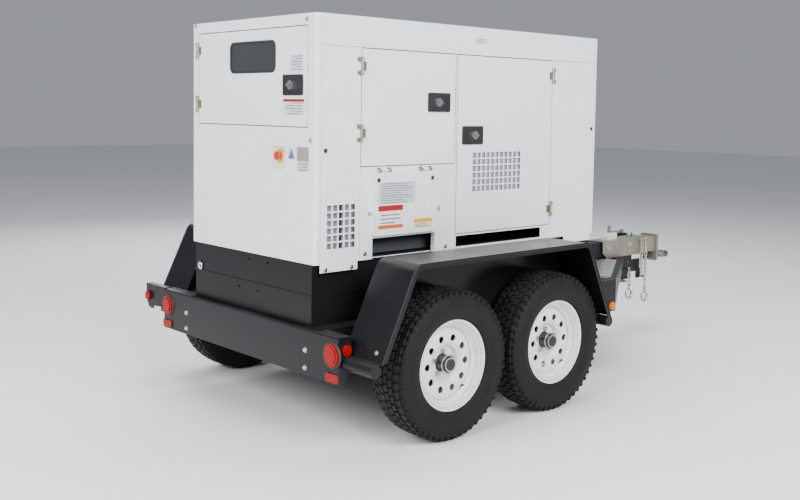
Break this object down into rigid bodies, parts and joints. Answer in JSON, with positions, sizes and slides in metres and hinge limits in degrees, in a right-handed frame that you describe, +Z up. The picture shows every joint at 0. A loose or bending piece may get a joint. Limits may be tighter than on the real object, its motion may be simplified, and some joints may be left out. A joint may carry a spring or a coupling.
{
  "type": "towable diesel generator",
  "caption": "Towable diesel generator: white sound-reducing case with hinged service doors on a black road trailer with fenders, torsion arms, A-frame drawbar, surge coupler and jack.",
  "frame": {"origin": "on the ground, under the centre of the bounding box", "axes": "+X towards the tow eye, +Y to the left side, +Z up"},
  "size_m": [3.612, 1.876, 1.915],
  "materials": {
    "chassis_black": "satin black paint",
    "case_white": "semi-gloss white powder coat",
    "deck_bright": "bright checker plate",
    "galvanised": "galvanised, slightly dusty",
    "steel_dark": "dark forged steel",
    "zinc": "zinc plated",
    "cap_white": "moulded white",
    "lens_red": "clear red lens",
    "lens_amber": "clear amber lens",
    "rim_white": "gloss white paint",
    "tyre": "worn matte tread",
    "window_dark": "smoked clear sheet",
    "estop_red": "gloss red",
    "latch_chrome": "polished",
    "engine_grey": "painted casting",
    "alternator_dark": "painted casting",
    "radiator_dark": "matt black core",
    "fan_pale": "moulded",
    "muffler_steel": "heat-tinted",
    "battery_black": "moulded",
    "panel_dark": "textured",
    "fixing_zinc": "zinc plated"
  },
  "bodies": {
    "trailer": {"rail_right": "chassis_black", "rail_left": "chassis_black", "cross_members": "chassis_black", "drawbar": "chassis_black", "deck_plate": "deck_bright", "coupler_bracket": "chassis_black", "actuator_case": "galvanised", "master_cylinder": "cap_white", "chain_front": "zinc", "chain_rear": "zinc", "fender_right": "chassis_black", "fender_left": "chassis_black", "bumper": "chassis_black", "red_lamps": "lens_red", "amber_lamps": "lens_amber", "axle_beams": "chassis_black", "base_tank": "chassis_black", "case_floor": "case_white", "roof": "case_white", "rear_skin": "case_white", "right_skin": "case_white", "outlet_frame": "case_white", "left_skin": "case_white", "front_skin": "case_white", "engine": "engine_grey", "alternator": "alternator_dark", "radiator": "radiator_dark", "muffler": "muffler_steel", "battery": "battery_black", "control_panel": "panel_dark", "fixings": "fixing_zinc"},
    "surge_coupler": {"actuator_slide": "galvanised", "tow_eye": "steel_dark"},
    "jack": {"jack_tube": "chassis_black"},
    "jack_leg": {"jack_leg": "galvanised"},
    "jack_crank": {"jack_crank": "galvanised"},
    "hook_front": {"hook_front": "zinc"},
    "hook_rear": {"hook_rear": "zinc"},
    "control_door": {"control_door": "case_white", "window": "window_dark"},
    "door_right_rear": {"door_right_rear": "case_white"},
    "door_right_front": {"door_right_front": "case_white"},
    "door_left_rear": {"door_left_rear": "case_white"},
    "door_left_front": {"door_left_front": "case_white"},
    "terminal_cover": {"terminal_cover": "case_white"},
    "estop_button": {"estop_button": "estop_red"},
    "latch_control": {"latch_control": "latch_chrome"},
    "fan": {"fan": "fan_pale"},
    "latch_right_rear": {"latch_right_rear": "latch_chrome"},
    "latch_right_front": {"latch_right_front": "latch_chrome"},
    "latch_left_rear": {"latch_left_rear": "latch_chrome"},
    "latch_left_front": {"latch_left_front": "latch_chrome"},
    "arm_rear_right": {"arm_rear_right": "chassis_black"},
    "wheel_rear_right": {"rim_rear_right": "rim_white", "tyre_rear_right": "tyre"},
    "arm_front_right": {"arm_front_right": "chassis_black"},
    "wheel_front_right": {"rim_front_right": "rim_white", "tyre_front_right": "tyre"},
    "arm_rear_left": {"arm_rear_left": "chassis_black"},
    "wheel_rear_left": {"rim_rear_left": "rim_white", "tyre_rear_left": "tyre"},
    "arm_front_left": {"arm_front_left": "chassis_black"},
    "wheel_front_left": {"rim_front_left": "rim_white", "tyre_front_left": "tyre"}
  },
  "joints": [
    {"name": "surge_travel", "type": "slide", "parent": "trailer", "child": "surge_coupler", "axis": [-1, 0, 0], "range_m": [0, 0.05]},
    {"name": "jack_swivel", "type": "hinge", "parent": "trailer", "child": "jack", "pos_m": [1.47795, 0.135, 0.577], "axis": [0, 1, 0], "range_deg": [0, 90]},
    {"name": "jack_crank_turn", "type": "hinge", "parent": "jack", "child": "jack_crank", "pos_m": [1.47795, 0.135, 0.639], "axis": [0, 0, 1], "range_deg": [0, 19440]},
    {"name": "jack_leg_travel", "type": "slide", "parent": "jack", "child": "jack_leg", "axis": [0, 0, -1], "range_m": [0, 0.27]},
    {"name": "hook_front_swing", "type": "hinge", "parent": "trailer", "child": "hook_front", "pos_m": [1.44795, -0.088, 0.2744], "axis": [0, 1, 0], "range_deg": [-20, 20]},
    {"name": "hook_rear_swing", "type": "hinge", "parent": "trailer", "child": "hook_rear", "pos_m": [1.17795, -0.146, 0.33], "axis": [0, 1, 0], "range_deg": [-20, 20]},
    {"name": "torsion_rear_right", "type": "hinge", "parent": "trailer", "child": "arm_rear_right", "pos_m": [-1.11805, -0.592, 0.424], "axis": [0, 1, 0], "range_deg": [-10, 15], "stiffness_Nm_per_rad": 701.3, "springref_deg": -25},
    {"name": "spin_rear_right", "type": "hinge", "parent": "arm_rear_right", "child": "wheel_rear_right", "pos_m": [-1.25805, -0.821, 0.344], "axis": [0, 1, 0], "continuous": true},
    {"name": "torsion_rear_left", "type": "hinge", "parent": "trailer", "child": "arm_rear_left", "pos_m": [-1.11805, 0.592, 0.424], "axis": [0, 1, 0], "range_deg": [-10, 15], "stiffness_Nm_per_rad": 706.6, "springref_deg": -25},
    {"name": "spin_rear_left", "type": "hinge", "parent": "arm_rear_left", "child": "wheel_rear_left", "pos_m": [-1.25805, 0.821, 0.344], "axis": [0, 1, 0], "continuous": true},
    {"name": "torsion_front_right", "type": "hinge", "parent": "trailer", "child": "arm_front_right", "pos_m": [-0.39605, -0.592, 0.424], "axis": [0, 1, 0], "range_deg": [-10, 15], "stiffness_Nm_per_rad": 1969.6, "springref_deg": -25},
    {"name": "spin_front_right", "type": "hinge", "parent": "arm_front_right", "child": "wheel_front_right", "pos_m": [-0.53605, -0.821, 0.344], "axis": [0, 1, 0], "continuous": true},
    {"name": "torsion_front_left", "type": "hinge", "parent": "trailer", "child": "arm_front_left", "pos_m": [-0.39605, 0.592, 0.424], "axis": [0, 1, 0], "range_deg": [-10, 15], "stiffness_Nm_per_rad": 1984.3, "springref_deg": -25},
    {"name": "spin_front_left", "type": "hinge", "parent": "arm_front_left", "child": "wheel_front_left", "pos_m": [-0.53605, 0.821, 0.344], "axis": [0, 1, 0], "continuous": true},
    {"name": "control_door_hinge", "type": "hinge", "parent": "trailer", "child": "control_door", "pos_m": [-1.75955, 0.45575, 1.6265], "axis": [0, 0, -1], "range_deg": [0, 110]},
    {"name": "door_right_rear_hinge", "type": "hinge", "parent": "trailer", "child": "door_right_rear", "pos_m": [-1.4938, -0.5245, 1.3165], "axis": [0, 0, -1], "range_deg": [0, 110]},
    {"name": "door_right_front_hinge", "type": "hinge", "parent": "trailer", "child": "door_right_front", "pos_m": [-0.1393, -0.5245, 1.3165], "axis": [0, 0, 1], "range_deg": [0, 110]},
    {"name": "door_left_rear_hinge", "type": "hinge", "parent": "trailer", "child": "door_left_rear", "pos_m": [-1.4938, 0.5245, 1.3165], "axis": [0, 0, 1], "range_deg": [0, 110]},
    {"name": "door_left_front_hinge", "type": "hinge", "parent": "trailer", "child": "door_left_front", "pos_m": [-0.1393, 0.5245, 1.3165], "axis": [0, 0, -1], "range_deg": [0, 110]},
    {"name": "terminal_cover_hinge", "type": "hinge", "parent": "trailer", "child": "terminal_cover", "pos_m": [-1.22155, -0.5245, 1.203], "axis": [-1, 0, 0], "range_deg": [0, 110]},
    {"name": "estop_press", "type": "slide", "parent": "trailer", "child": "estop_button", "axis": [1, 0, 0], "range_m": [0, 0.006], "stiffness_N_per_m": 600, "springref_m": -0.003},
    {"name": "latch_control_turn", "type": "hinge", "parent": "control_door", "child": "latch_control", "pos_m": [-1.75205, -0.341, 1.59], "axis": [-1, 0, 0], "range_deg": [0, 90]},
    {"name": "latch_right_rear_turn", "type": "hinge", "parent": "door_right_rear", "child": "latch_right_rear", "pos_m": [-1.01105, -0.517, 1.524], "axis": [0, -1, 0], "range_deg": [0, 90]},
    {"name": "latch_right_front_turn", "type": "hinge", "parent": "door_right_front", "child": "latch_right_front", "pos_m": [-0.75305, -0.517, 1.363], "axis": [0, -1, 0], "range_deg": [0, 90]},
    {"name": "latch_left_rear_turn", "type": "hinge", "parent": "door_left_rear", "child": "latch_left_rear", "pos_m": [-1.01105, 0.517, 1.524], "axis": [0, 1, 0], "range_deg": [0, 90]},
    {"name": "latch_left_front_turn", "type": "hinge", "parent": "door_left_front", "child": "latch_left_front", "pos_m": [-0.75305, 0.517, 1.363], "axis": [0, 1, 0], "range_deg": [0, 90]},
    {"name": "fan_spin", "type": "hinge", "parent": "trailer", "child": "fan", "pos_m": [-0.14305, 0, 1.268], "axis": [1, 0, 0], "continuous": true}
  ],
  "couplings": [
    {"joint": "jack_leg_travel", "follows": "jack_crank_turn", "m_per_rad": 0.00079577}
  ]
}
